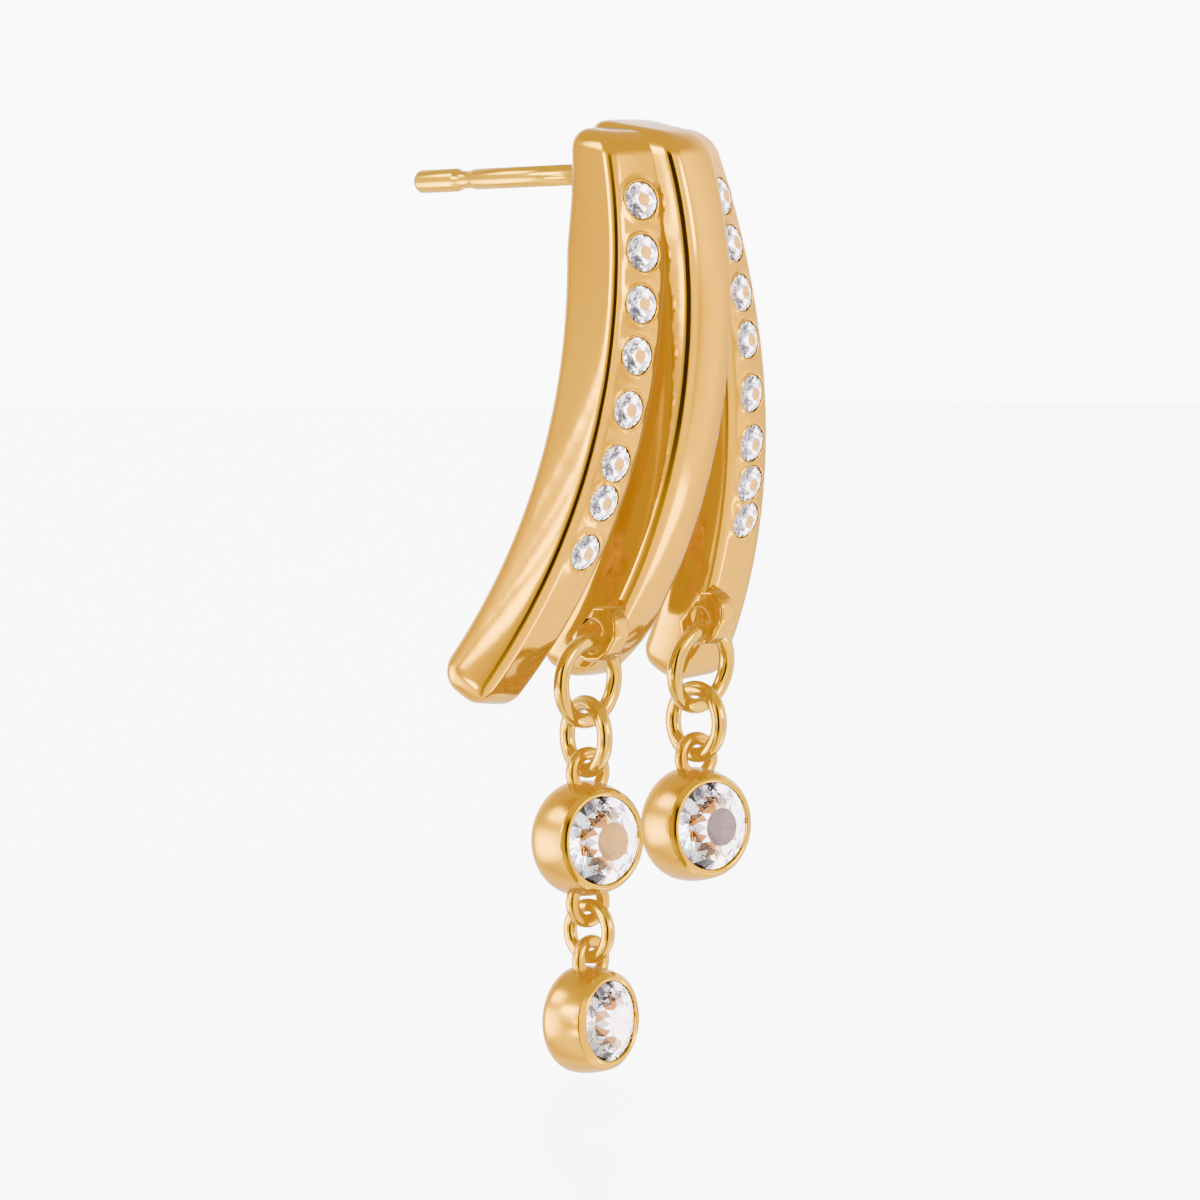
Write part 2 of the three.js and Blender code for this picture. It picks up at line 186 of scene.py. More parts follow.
def face_axes(bar, drop):
    """Down the bar, across its face to +X, and inward from the face to the back."""
    along = (face_point(bar, drop + SLOPE_STEP) - face_point(bar, drop - SLOPE_STEP)).normalized()
    down = Vector((0, 0, -1)).lerp(along, smooth_share(drop, 0, LEVEL_DROP)).normalized()
    yaw = math.radians(between(bar["yaw"], drop / bar["length"])) * bar["side"]
    inward = Vector((-math.sin(yaw), math.cos(yaw), 0))
    inward = (inward - down * inward.dot(down)).normalized()
    return down, down.cross(inward), inward


def rounded_outline(corners, corner_steps, flat_steps):
    """Points round a polygon of (x, y, radius) corners. flat_steps divides each flat, in order."""
    arcs = []
    for i, (x, y, radius) in enumerate(corners):
        corner = Vector((x, y))
        back = (Vector(corners[i - 1][:2]) - corner).normalized()
        ahead = (Vector(corners[(i + 1) % len(corners)][:2]) - corner).normalized()
        half = math.acos(max(-1, min(1, back.dot(ahead)))) / 2
        centre = corner + (back + ahead).normalized() * (radius / math.sin(half))
        start = corner + back * (radius / math.tan(half)) - centre
        end = corner + ahead * (radius / math.tan(half)) - centre
        turn = math.atan2(start.x * end.y - start.y * end.x, start.dot(end))
        arc = []
        for k in range(corner_steps + 1):
            angle = turn * k / corner_steps
            spun = Vector((start.x * math.cos(angle) - start.y * math.sin(angle),
                           start.x * math.sin(angle) + start.y * math.cos(angle)))
            arc.append(centre + spun)
        arcs.append(arc)
    points = []
    for i, arc in enumerate(arcs):
        points += arc
        first = arcs[(i + 1) % len(arcs)][0]
        points += [arc[-1].lerp(first, k / flat_steps[i]) for k in range(1, flat_steps[i])]
    return points


def swell_height(radius):
    """How far the metal stands above the face, this far from the middle of a crystal."""
    if radius < SWELL["dish_radius"]:
        return -SWELL["dish"]
    return SWELL["height"] * (1 - smooth_share(radius, SWELL["start"], SWELL["foot"]))


def seats_of(name):
    """The middle of each crystal's seat on a bar's face, and the way into the bar there."""
    bar = BARS[name]
    return [(face_point(bar, drop), face_axes(bar, drop)[2]) for drop in CRYSTAL_DROPS.get(name, [])]


def bar_section(bar, drop, width_inset=0.0, depth_inset=0.0, seats=()):
    """A ring round the bar, with its face pillowed and swelling round the seats."""
    share = drop / bar["length"]
    fill = bar["crown_fill"] * (1 - smooth_share(drop, 0, CROWN_FILL_DROP))
    depth = between(bar["depth"], share) + fill
    back_half = between(bar["back_half"], share)
    face = face_point(bar, drop)
    down, across, inward = face_axes(bar, drop)
    rise = math.tan(math.radians(bar["crown_rise"])) * (1 - smooth_share(drop, 0, LEVEL_DROP))
    lift = bar["end_lift"] * smooth_share(drop, bar["length"] - END_LIFT_LENGTH, bar["length"])
    outline = rounded_outline([
        (-BAR_FACE_HALF, 0, BAR_FACE_RADIUS), (BAR_FACE_HALF, 0, BAR_FACE_RADIUS),
        (back_half, depth, BAR_BACK_RADIUS), (-back_half, depth, BAR_BACK_RADIUS),
    ], CORNER_STEPS, FLAT_STEPS)
    ring = []
    for point in outline:
        half = between((BAR_FACE_HALF, back_half), point.y / depth)
        flank = bar["flank_pillow"] * max(0, 1 - (2 * point.y / depth - 1) ** 2)
        pillow = bar["face_pillow"] * max(0, 1 - (point.x / BAR_FACE_HALF) ** 2)
        u = (point.x + flank * point.x / half) * (1 - width_inset)
        v = point.y - pillow * (1 - 2 * point.y / depth)
        v = depth / 2 + (v - depth / 2) * (1 - depth_inset)
        placed = face + across * u + inward * v
        placed.z += v * rise + lift * (1 - v / depth)
        for seat, into in seats:
            offset = placed - seat
            radius = (offset - into * offset.dot(into)).length
            if radius < SWELL["foot"] and point.y < BAR_FACE_RADIUS:
                flat = 1 - smooth_share(abs(point.x), BAR_FACE_HALF - BAR_FACE_RADIUS,
                                        BAR_FACE_HALF - SWELL["edge"])
                placed -= into * swell_height(radius) * (1 - point.y / BAR_FACE_RADIUS) * flat
        ring.append(placed)
    return ring


# ---------------------------------------------------------------- mesh helpers


def mesh_object(name, points, faces, material, smooth=True, matrix=None):
    """A mesh object from points in millimetres, placed by matrix, with its origin at the world's."""
    mesh = bpy.data.meshes.new(name)
    mesh.from_pydata([tuple(Vector(point) * MM) for point in points], [], faces)
    if matrix:
        mesh.transform(matrix)
    mesh.polygons.foreach_set("use_smooth", [smooth] * len(mesh.polygons))
    mesh.materials.append(material)
    mesh.update()
    piece = bpy.data.objects.new(name, mesh)
    bpy.context.scene.collection.objects.link(piece)
    return piece


def place(x, y, z, turn=0.0, lean=0.0):
    """Millimetres from the origin, leant about X and then turned about Z, in degrees."""
    spin = Matrix.Rotation(math.radians(turn), 4, "Z") @ Matrix.Rotation(math.radians(lean), 4, "X")
    return Matrix.Translation(Vector((x, y, z)) * MM) @ spin


def loft_faces(count, rows):
    """Quads between equal rings, and a fan over each end, whose hubs are the last two points."""
    faces = []
    for i in range(rows - 1):
        for j in range(count):
            a, b = i * count + j, i * count + (j + 1) % count
            faces.append((a, a + count, b + count, b))
    hub = rows * count
    faces += [(hub, j, (j + 1) % count) for j in range(count)]
    last = (rows - 1) * count
    faces += [(hub + 1, last + (j + 1) % count, last + j) for j in range(count)]
    return faces


def loft(name, rings, material):
    """A closed solid through equal rings of points."""
    points = [point for ring in rings for point in ring]
    for ring in (rings[0], rings[-1]):
        points.append(sum((Vector(point) for point in ring), Vector()) / len(ring))
    return mesh_object(name, points, loft_faces(len(rings[0]), len(rings)), material)


def turned(name, profile, sides, material, matrix=None):
    """A solid of revolution about Y from (radius, y) pairs. It starts and ends on the axis."""
    points = [Vector((0, profile[0][1], 0))]
    for radius, y in profile[1:-1]:
        for j in range(sides):
            angle = 2 * math.pi * j / sides
            points.append(Vector((radius * math.cos(angle), y, radius * math.sin(angle))))
    points.append(Vector((0, profile[-1][1], 0)))
    rows = len(profile) - 2
    faces = [(0, 1 + j, 1 + (j + 1) % sides) for j in range(sides)]
    for i in range(rows - 1):
        for j in range(sides):
            a, b = 1 + i * sides + j, 1 + i * sides + (j + 1) % sides
            faces.append((a, a + sides, b + sides, b))
    last, base = len(points) - 1, 1 + (rows - 1) * sides
    faces += [(last, base + (j + 1) % sides, base + j) for j in range(sides)]
    return mesh_object(name, points, faces, material, True, matrix)


def arc_profile(centre, radius, start, end, steps):
    """(radius, y) points along an arc, with angles in degrees."""
    angles = [math.radians(start + (end - start) * k / steps) for k in range(steps + 1)]
    return [(centre[0] + radius * math.cos(a), centre[1] + radius * math.sin(a)) for a in angles]


def join(name, pieces):
    """One object from several, keeping their materials."""
    bpy.ops.object.select_all(action="DESELECT")
    for piece in pieces:
        piece.select_set(True)
    bpy.context.view_layer.objects.active = pieces[0]
    bpy.ops.object.join()
    pieces[0].name = name
    return pieces[0]


# ---------------------------------------------------------------- node helpers


def fill(tree, node, inputs):
    """Sets or links a node's inputs, from {socket: value or output}."""
    for socket, value in inputs.items():
        if isinstance(value, bpy.types.NodeSocket):
            tree.links.new(value, node.inputs[socket])
        else:
            node.inputs[socket].default_value = value


def add(tree, kind, inputs=None, **settings):
    """A new node with these settings, and its inputs filled."""
    node = tree.nodes.new(kind)
    for setting, value in settings.items():
        setattr(node, setting, value)
    fill(tree, node, inputs or {})
    return node


def math_step(tree, operation, first, second=0.0):
    return add(tree, "ShaderNodeMath", {0: first, 1: second}, operation=operation).outputs[0]


def colour_mix(tree, share, first, second):
    return add(tree, "ShaderNodeMix", {"Factor": share, 6: first, 7: second}, data_type="RGBA").outputs[2]


def new_finish(name):
    """A material, its node tree and its shader."""
    material = bpy.data.materials.new(name)
    material.use_nodes = True
    return material, material.node_tree, material.node_tree.nodes["Principled BSDF"]


def new_group(name, kind, inputs, outputs):
    """An empty node group with named inputs and outputs, each (name, socket type, default)."""
    tree = bpy.data.node_groups.new(name, kind)
    for label, socket, default in inputs:
        made = tree.interface.new_socket(label, in_out="INPUT", socket_type=socket)
        if default is not None:
            made.default_value = default
    for label, socket in outputs:
        tree.interface.new_socket(label, in_out="OUTPUT", socket_type=socket)
    return tree, tree.nodes.new("NodeGroupInput"), tree.nodes.new("NodeGroupOutput")


def grown(name, tree, values, matrix=None, base=None):
    """Runs a Geometry Nodes tree and keeps its result as a plain mesh, placed by matrix."""
    carrier = bpy.data.objects.new(name + "_carrier", base or bpy.data.meshes.new(name + "_carrier"))
    bpy.context.scene.collection.objects.link(carrier)
    modifier = carrier.modifiers.new("grow", "NODES")
    modifier.node_group = tree
    for item in tree.interface.items_tree:
        if item.in_out == "INPUT" and item.name in values:
            modifier[item.identifier] = values[item.name]
    bpy.context.view_layer.update()
    graph = bpy.context.evaluated_depsgraph_get()
    mesh = bpy.data.meshes.new_from_object(carrier.evaluated_get(graph), depsgraph=graph)
    carrier.modifiers.remove(modifier)
    bpy.data.objects.remove(carrier)
    if matrix:
        mesh.transform(matrix)
    piece = bpy.data.objects.new(name, mesh)
    bpy.context.scene.collection.objects.link(piece)
    return piece


# ---------------------------------------------------------------- finishes

HAIR_SCALE = 9000.0
HAIR_STRETCH = 0.08
# Painted reflection: gold that another mirror sees is painted this paler colour, since gold mirrored in gold
# would turn too red with every bounce.
GOLD_IN_GOLD = (0.98, 0.86, 0.4, 1)
# A painted glow in the gold where it is mirrored more than twice, deep in a groove, standing in for what is
# left of the light there.
GROOVE_GLOW = (0.85, 0.85, 0.3, 1)
GROOVE_LEVEL = 0.3
GROOVE_BOUNCES = 2.5
CRYSTAL_IOR = 1.6


def polish_group():
    """Hand polish: a faint cloudiness in colour, a soft ripple, and hair scratches that haze the gloss."""
    tree, given, result = new_group("hand_polish", "ShaderNodeTree", [
        ("Gold", "NodeSocketColor", (1, 0.7, 0.3, 1)),
        ("Deep gold", "NodeSocketColor", (0.9, 0.5, 0.15, 1)),
        ("Cloud scale", "NodeSocketFloat", 300),
        ("Base roughness", "NodeSocketFloat", 0.06),
        ("Haze", "NodeSocketFloat", 0.05),
        ("Ripple height", "NodeSocketFloat", 0.02),
    ], [("Colour", "NodeSocketColor"), ("Roughness", "NodeSocketFloat"), ("Normal", "NodeSocketVector")])
    spot = add(tree, "ShaderNodeTexCoord").outputs["Object"]
    cloud = add(tree, "ShaderNodeTexNoise", {
        "Vector": spot, "Scale": given.outputs["Cloud scale"], "Detail": 3.0, "Roughness": 0.55})
    stretch = add(tree, "ShaderNodeMapping", {"Vector": spot, "Scale": (1, 1, HAIR_STRETCH)})
    hair = add(tree, "ShaderNodeTexNoise", {"Vector": stretch.outputs[0], "Scale": HAIR_SCALE, "Detail": 2.0})
    colour = colour_mix(tree, cloud.outputs["Fac"], given.outputs["Gold"], given.outputs["Deep gold"])
    haze = math_step(tree, "MULTIPLY", hair.outputs["Fac"], given.outputs["Haze"])
    rough = math_step(tree, "ADD", haze, given.outputs["Base roughness"])
    bump = add(tree, "ShaderNodeBump", {
        "Height": cloud.outputs["Fac"], "Strength": 1.0, "Distance": given.outputs["Ripple height"]})
    fill(tree, result, {"Colour": colour, "Roughness": rough, "Normal": bump.outputs[0]})
    return tree


HAND_POLISH = polish_group()


def gold_finish(name, gold, deep, cloud, roughness, haze, ripple):
    """Gold plate with its own polish. The ripple is in metres."""
    material, tree, shader = new_finish(name)
    polish = add(tree, "ShaderNodeGroup", {
        "Gold": gold, "Deep gold": deep, "Cloud scale": cloud, "Base roughness": roughness, "Haze": haze,
        "Ripple height": ripple}, node_tree=HAND_POLISH)
    path = add(tree, "ShaderNodeLightPath")
    # Painted reflection: where a mirror sees this gold, its colour is the paler GOLD_IN_GOLD.
    colour = colour_mix(tree, path.outputs["Is Glossy Ray"], polish.outputs["Colour"], GOLD_IN_GOLD)
    # Painted glow: past two mirrorings the gold glows faintly, as if light were left deep in a groove.
    deep_in = math_step(tree, "GREATER_THAN", path.outputs["Glossy Depth"], GROOVE_BOUNCES)
    glow = math_step(tree, "MULTIPLY", deep_in, GROOVE_LEVEL)
    fill(tree, shader, {
        "Metallic": 1.0, "Emission Strength": glow, "Emission Color": GROOVE_GLOW, "Base Color": colour,
        "Roughness": polish.outputs["Roughness"], "Normal": polish.outputs["Normal"]})
    return material


CAST_GOLD = gold_finish("cast_gold", (0.92, 0.42, 0.0, 1), (0.86, 0.37, 0.0, 1), 260, 0.07, 0.05, 0.000025)
WIRE_GOLD = gold_finish("wire_gold", (0.94, 0.48, 0.02, 1), (0.88, 0.42, 0.0, 1), 900, 0.06, 0.06, 0.00001)
SPUN_GOLD = gold_finish("spun_gold", (0.97, 0.46, 0.0, 1), (0.91, 0.38, 0.0, 1), 350, 0.17, 0.08, 0.00002)
LIP_GOLD = gold_finish("lip_gold", (0.94, 0.46, 0.0, 1), (0.89, 0.4, 0.0, 1), 350, 0.05, 0.05, 0.00001)


def crystal_finish():
    """Clear cut crystal. Each facet passes its own painted light: clear glass, painted reflections of the
    gold and painted dark.
    """
    material, tree, shader = new_finish("cut_crystal")
    painted_light = add(tree, "ShaderNodeAttribute", attribute_name="painted_light")
    fill(tree, shader, {"Base Color": painted_light.outputs["Color"], "Roughness": 0.0, "IOR": CRYSTAL_IOR,
                        "Transmission Weight": 1.0})
    return material


CUT_CRYSTAL = crystal_finish()
# What a facet lets through: w is clear glass; gilt and pale gilt are painted reflections of the gold setting,
# smoke and lilac are painted dark reflections.
FACET_GLASS_AND_REFLECTIONS = {"w": (0.98, 0.95, 0.98, 1), "g": (0.05, 0.008, 0.0002, 1), "p": (0.3, 0.12, 0.04, 1),
         "s": (0.0006, 0.0004, 0.0005, 1), "l": (0.1, 0.08, 0.1, 1)}
# The painted reflection that each stone's table lets through.
TABLE_REFLECTIONS = {
    "small": (0.12, 0.03, 0.0001, 1),
    "centre_upper": (0.05, 0.015, 0.0008, 1),
    "centre_lower": (0.9, 0.7, 0.75, 1),
    "side": (0.009, 0.0045, 0.004, 1),
}
# Painted reflections on the crown's facets, in six rounds from the table out. Each string goes round from +X
# towards +Z.
LARGE_CROWN_REFLECTIONS = ["wwllpgwwwwgpwwlw", "wwwwpggglgggpwww", "wwwlwwwggwwwwlww",
                     "wwwwlwslwwwslwlw", "lwwwslwwwwlswlww", "wwlwwlwwwwwswwlw"]
SMALL_CROWN_REFLECTIONS = ["wwlwwwlw", "wlwlwlwl", "lwlllwll", "wwlwlwlw", "wlwwwlwl", "lwlwlwlw"]
# How strongly a foil's facets glow, over and over: a painted sparkle.
FACET_GLOW_SHARES = [1.0, 0.75, 0.95, 0.6, 1.0, 0.85, 0.9]
# The foil's painted glow, which lights its stone though the foil is no lamp.
FOIL_GLOW = 8.0
FOIL_LILAC = (0.95, 0.87, 0.95, 1)
FOIL_ROSE = (1.0, 0.9, 0.87, 1)
FOIL_DRIFT_SCALE = 900.0
FOIL_DIMMING = 0.8
FOIL_ROUGHNESS = 0.08


def foil_finish():
    """The silvering behind a stone, with a painted glow for the light its facets mirror: uneven from facet to
    facet, drifting from lilac to rose.
    """
    material, tree, shader = new_finish("stone_foil")
    spot = add(tree, "ShaderNodeTexCoord").outputs["Object"]
    glow_share = add(tree, "ShaderNodeAttribute", attribute_name="glow_share")
    drift = add(tree, "ShaderNodeTexNoise", {"Vector": spot, "Scale": FOIL_DRIFT_SCALE})
    painted_light = colour_mix(tree, drift.outputs["Fac"], FOIL_LILAC, FOIL_ROSE)
    glow = math_step(tree, "MULTIPLY", glow_share.outputs["Fac"], FOIL_GLOW)
    dimmed = colour_mix(tree, FOIL_DIMMING, painted_light, (0, 0, 0, 1))
    fill(tree, shader, {"Metallic": 1.0, "Roughness": FOIL_ROUGHNESS, "Base Color": dimmed,
                        "Emission Color": painted_light, "Emission Strength": glow})
    return material


STONE_FOIL = foil_finish()

# ---------------------------------------------------------------- bar frame


def bar_piece(name, bar, seats):
    """A whole bar: its rounded top, its length and its rounded end."""
    rings = []
    for i in range(CROWN_STEPS):
        angle = math.pi / 2 * i / CROWN_STEPS
        inset = CROWN_ROUNDING * (1 - math.sin(angle))
        depth_inset = 2 * inset / (bar["depth"][0] + bar["crown_fill"])
        drop = CROWN_ROUNDING * (1 - math.cos(angle))
        rings.append(bar_section(bar, drop, inset / bar["back_half"][0], depth_inset))
    straight = bar["length"] - BAR_END_ROUNDING
    stations = round((straight - CROWN_ROUNDING) / STATION_STEP)
    for i in range(stations + 1):
        drop = CROWN_ROUNDING + (straight - CROWN_ROUNDING) * i / stations
        near = [seat for seat in seats if abs(seat[0].z - CROWN_TOP + drop) < SEAT_REACH]
        rings.append(bar_section(bar, drop, seats=near))
    for i in range(1, END_STEPS + 1):
        angle = math.pi / 2 * i / END_STEPS
        inset = BAR_END_ROUNDING * (1 - math.cos(angle))
        drop = straight + BAR_END_ROUNDING * math.sin(angle)
        rings.append(bar_section(bar, drop, inset / bar["back_half"][1], 2 * inset / bar["depth"][1]))
    return loft(name, rings, CAST_GOLD)


def post_piece():
    """The ear post, with the groove that holds a nut and its rounded tip."""
    length, radius, tip, waist = POST["length"], POST["radius"], POST["tip_radius"], POST["groove_radius"]
    foot = length - POST["tip_length"]
    groove, ease, dome = foot - POST["groove_length"], POST["groove_ease"], tip * POST["tip_round"]
    profile = [(0, POST["root"]), (radius, POST["root"])]
    profile += [(radius - narrower, groove + further) for narrower, further in POST_EDGES[0]]
    profile += [(waist, groove + ease), (waist, foot - ease)]
    profile += [(tip - narrower, foot + further) for narrower, further in POST_EDGES[1]]
    profile += arc_profile((tip - dome, length - dome), dome, 0, 90, POST_TIP_STEPS) + [(0, length)]
    return turned("post", profile, TURNED_SIDES, WIRE_GOLD, place(0, 0, 0, 0, -POST_SLOPE))


def wire_height(row, x):
    """The middle of a large ring's wire above the ring's middle, at this x."""
    return math.sqrt(LARGE_RING[0] ** 2 - (x - row["ring"][0]) ** 2)


def staple_piece(name, row):
    """A flat strap, rounded at its edges, whose slot follows the ring that it holds."""
    x, up = row["eye_x"], wire_height(row, row["eye_x"])
    lean = math.radians(row["lean"])
    middle = Vector((x, row["ring"][1] - up * math.sin(lean), row["ring"][2] + up * math.cos(lean)))
    steps = STAPLE_STEPS
    outer = rounded_outline(STAPLE_OUTLINE, steps["corner"], (steps["flat"],) * len(STAPLE_OUTLINE))
    count, half, soft = len(outer), STAPLE["width"] / 2, STAPLE["soft"]
    slot_soft = soft * STAPLE["slot_soft"]

    def slot_at(side):
        shift = wire_height(row, x + side) - up + STAPLE["slot_lift"]
        ring = []
        for point in outer:
            ahead, above = point.x - STAPLE["slot_forward"], point.y - STAPLE["slot_lift"]
            angle = math.atan2(above / STAPLE["slot_rise"], ahead / STAPLE["slot_half"])
            ring.append(Vector((STAPLE["slot_forward"] + STAPLE["slot_half"] * math.cos(angle),
                                shift + STAPLE["slot_rise"] * math.sin(angle))))
        return ring

    rings = []
    for k in range(steps["outer"] + 1):
        angle = math.pi / 2 * (1 - k / steps["outer"])
        rings.append((half - soft + soft * math.cos(angle), soft * (1 - math.sin(angle)), False))
    for k in range(steps["slot"] + 1):
        angle = math.pi / 2 * k / steps["slot"]
        rings.append((half - slot_soft * (1 - math.cos(angle)), slot_soft * (1 - math.sin(angle)), True))
    rings += [(half * share, 0, True) for share in (0.5, 0.2)]
    rings += [(-side, inset, inner) for side, inset, inner in reversed(rings)]
    points = []
    for side, inset, inner in rings:
        slot = slot_at(side)
        for out, hole in zip(outer, slot):
            start, end = (hole, out) if inner else (out, hole)
            point = start + (end - start).normalized() * inset
            points.append(middle + Vector((side, -point.x, point.y)))
    faces = []
    for i in range(len(rings)):
        for j in range(count):
            a, b = i * count, (i + 1) % len(rings) * count
            faces.append((a + j, a + (j + 1) % count, b + (j + 1) % count, b + j))
    return mesh_object(name, points, faces, CAST_GOLD)


def brilliant(radius, crown, pavilion, table, sectors):
    """A round cut about -Y: flat facets, its table to the front and its point to the back.

    The faces are the table, six crown facets to each sector, the girdle, and three to a sector behind it.
    """
    count, step = sectors, 2 * math.pi / sectors
    rim = GIRDLE * radius

    def ring(share, y, phase, around):
        turns = [2 * math.pi * k / around + phase for k in range(around)]
        return [Vector((share * radius * math.cos(t), y, share * radius * math.sin(t))) for t in turns]

    def crown_y(share, swell):
        return -rim - crown * ((1 - share) / (1 - table) + swell)

    (inner_share, inner_swell), (outer_share, outer_swell) = CROWN_ROUNDS
    inner, outer = table + (1 - table) * inner_share, table + (1 - table) * outer_share
    belly_y = rim + pavilion * (1 - BELLY * math.cos(step / 2))
    points = ring(table, crown_y(table, 0), 0, count)
    points += ring(inner, crown_y(inner, inner_swell), step / 2, count)
    points += ring(outer, crown_y(outer, outer_swell), 0, count)
    points += ring(1, -rim, 0, 2 * count) + ring(1, rim, 0, 2 * count)
    points += ring(BELLY, belly_y, step / 2, count) + [Vector((0, rim + pavilion, 0))]
    first, second, front, back = count, 2 * count, 3 * count, 5 * count
    low, tip = 7 * count, 8 * count
    faces = [tuple(range(count))]
    for k in range(count):
        ahead, behind = (k + 1) % count, (k - 1) % count
        edge, late, early = 2 * k, 2 * k + 1, (2 * k - 1) % (2 * count)
        faces += [(k, first + k, ahead), (k, first + behind, second + k, first + k),
                  (first + k, second + k, second + ahead), (second + k, front + early, front + edge),
                  (second + k, front + edge, front + late), (second + k, front + late, second + ahead)]
    for k in range(2 * count):
        ahead = (k + 1) % (2 * count)
        faces.append((front + k, back + k, back + ahead, front + ahead))
    for k in range(count):
        edge, late, ahead = back + 2 * k, back + 2 * k + 1, back + (2 * k + 2) % (2 * count)
        faces += [(low + k, late, edge), (low + k, ahead, late), (tip, low + k, edge, low + (k - 1) % count)]
    return points, faces


def foil_cup(radius, pavilion, sectors):
    """A thin closed cup behind a brilliant: its girdle and pavilion again, just outside them.

    The crown is left off, so its height and its table's size don't matter.
    """
    points, faces = brilliant(radius, 0.1, pavilion, 0.5, sectors)
    first, rim = 3 * sectors, 2 * sectors

    def spread(point, share, back):
        return Vector((point.x * share, point.y + back, point.z * share))

    front = [spread(point, FOIL["spread"], FOIL["clear"]) for point in points[first:]]
    back = [spread(point, FOIL["back_spread"], FOIL["wall"]) for point in front]
    count = len(front)
    kept = [tuple(i - first for i in face) for face in faces if min(face) >= first]
    inner = [tuple(reversed(face)) for face in kept]
    outer = [tuple(count + i for i in face) for face in kept]
    edge = [(k, (k + 1) % rim, count + (k + 1) % rim, count + k) for k in range(rim)]
    return front + back, inner + outer + edge


def dressed_tree(tree, given, result, shape):
    """Ends a tree: its instances made real, in their finish."""
    real = add(tree, "GeometryNodeRealizeInstances", {"Geometry": shape})
    dressed = add(tree, "GeometryNodeSetMaterial", {
        "Geometry": real.outputs[0], "Material": given.outputs["Finish"]})
    fill(tree, result, {0: dressed.outputs[0]})
    return tree


def settings_tree():
    """Puts one setting on each seat of a row, turned to the seat's own facing."""
    tree, given, result = new_group("settings_along_bar", "GeometryNodeTree", [
        ("Seats", "NodeSocketGeometry", None), ("Setting", "NodeSocketObject", None),
        ("Size", "NodeSocketFloat", 1.0), ("Finish", "NodeSocketMaterial", None),
    ], [("Row", "NodeSocketGeometry")])
    facing = add(tree, "GeometryNodeInputNamedAttribute", {"Name": "facing"}, data_type="FLOAT_VECTOR")
    shape = add(tree, "GeometryNodeObjectInfo", {"Object": given.outputs["Setting"]})
    row = add(tree, "GeometryNodeInstanceOnPoints", {
        "Points": given.outputs["Seats"], "Instance": shape.outputs["Geometry"],
        "Rotation": facing.outputs["Attribute"], "Scale": given.outputs["Size"]})
    return dressed_tree(tree, given, result, row.outputs[0])


def ring_tree():
    """A ring of round wire about Z."""
    tree, given, result = new_group("wire_ring", "GeometryNodeTree", [
        ("Ring radius", "NodeSocketFloat", 0.0017), ("Wire radius", "NodeSocketFloat", 0.0003),
        ("Ring steps", "NodeSocketInt", 96), ("Wire steps", "NodeSocketInt", 24),
        ("Finish", "NodeSocketMaterial", None),
    ], [("Ring", "NodeSocketGeometry")])
    path, wire = (add(tree, "GeometryNodeCurvePrimitiveCircle", {
        "Resolution": given.outputs[part + " steps"], "Radius": given.outputs[part + " radius"]})
        for part in ("Ring", "Wire"))
    swept = add(tree, "GeometryNodeCurveToMesh", {
        "Curve": path.outputs["Curve"], "Profile Curve": wire.outputs["Curve"]})
    smooth = add(tree, "GeometryNodeSetShadeSmooth", {"Geometry": swept.outputs[0]})
    return dressed_tree(tree, given, result, smooth.outputs[0])


SETTINGS_ALONG_BAR = settings_tree()
WIRE_RING = ring_tree()


def wire_ring(name, size, matrix, steps=RING_STEPS, finish=None):
    """A ring of wire that hangs in the plane across the bars. size is its radius and its wire's."""
    upright = matrix @ Matrix.Rotation(math.pi / 2, 4, "X")
    return grown(name, WIRE_RING, {
        "Ring radius": size[0] * MM, "Wire radius": size[1] * MM, "Ring steps": steps[0],
        "Wire steps": steps[1], "Finish": finish or WIRE_GOLD}, upright)


def seats_mesh(name, bar, drops, lift):
    """A point for each crystal's seat, with the turn that faces it out of the bar."""
    mesh = bpy.data.meshes.new(name)
    spots, turns = [], []
    for drop in drops:
        down, across, inward = face_axes(bar, drop)
        spots.append(tuple((face_point(bar, drop) - inward * lift) * MM))
        turns.append(Matrix((across, inward, -down)).transposed().to_euler())
    mesh.from_pydata(spots, [], [])
    facing = mesh.attributes.new("facing", "FLOAT_VECTOR", "POINT")
    facing.data.foreach_set("vector", [angle for turn in turns for angle in turn])
    return mesh


def collar_profile():
    """The lip pressed over a small crystal: (radius, y) from the front of its seat round to the back."""
    mouth, foot = SMALL_CRYSTAL + SEAT_GAP, SWELL["dish"] + COLLAR_BACK["foot_depth"]
    lip = COLLAR_SEAT + [(mouth, y) for y in COLLAR_WALL]
    lip_middle = (mouth + COLLAR["lip"], -SWELL["height"] - COLLAR["lip_rise"])
    lip += arc_profile(lip_middle, COLLAR["lip"], *COLLAR["lip_arc"], COLLAR_STEPS)
    for k in range(1, SKIRT_STEPS + 1):
        radius = mouth + COLLAR["skirt"] + COLLAR["skirt_width"] * k / SKIRT_STEPS
        rise = COLLAR["skirt_rise"] * (1 - k / SKIRT_STEPS)
        lip.append((radius, -swell_height(radius) - rise - COLLAR["proud"]))
    back = (SMALL_CRYSTAL + COLLAR_BACK["beyond"], COLLAR_BACK["y"])
    return lip + [back, (COLLAR_BACK["foot_radius"], foot), (0, foot)]


def cut_object(name, cut, table_painted_light, rounds, matrix=None):
    """A brilliant as an object, each facet with its own painted light, from clear glass to painted gold
    reflections and painted dark.
    """
    stone = mesh_object(name, *cut, CUT_CRYSTAL, False, matrix)
    painted_lights = [table_painted_light] + [FACET_GLASS_AND_REFLECTIONS[mark[k]] for k in range(len(rounds[0])) for mark in rounds]
    painted_lights += [FACET_GLASS_AND_REFLECTIONS["w"]] * (len(stone.data.polygons) - len(painted_lights))
    stone.data.attributes.new("painted_light", "FLOAT_COLOR", "FACE").data.foreach_set(
        "color", [share for painted_light in painted_lights for share in painted_light])
    return stone


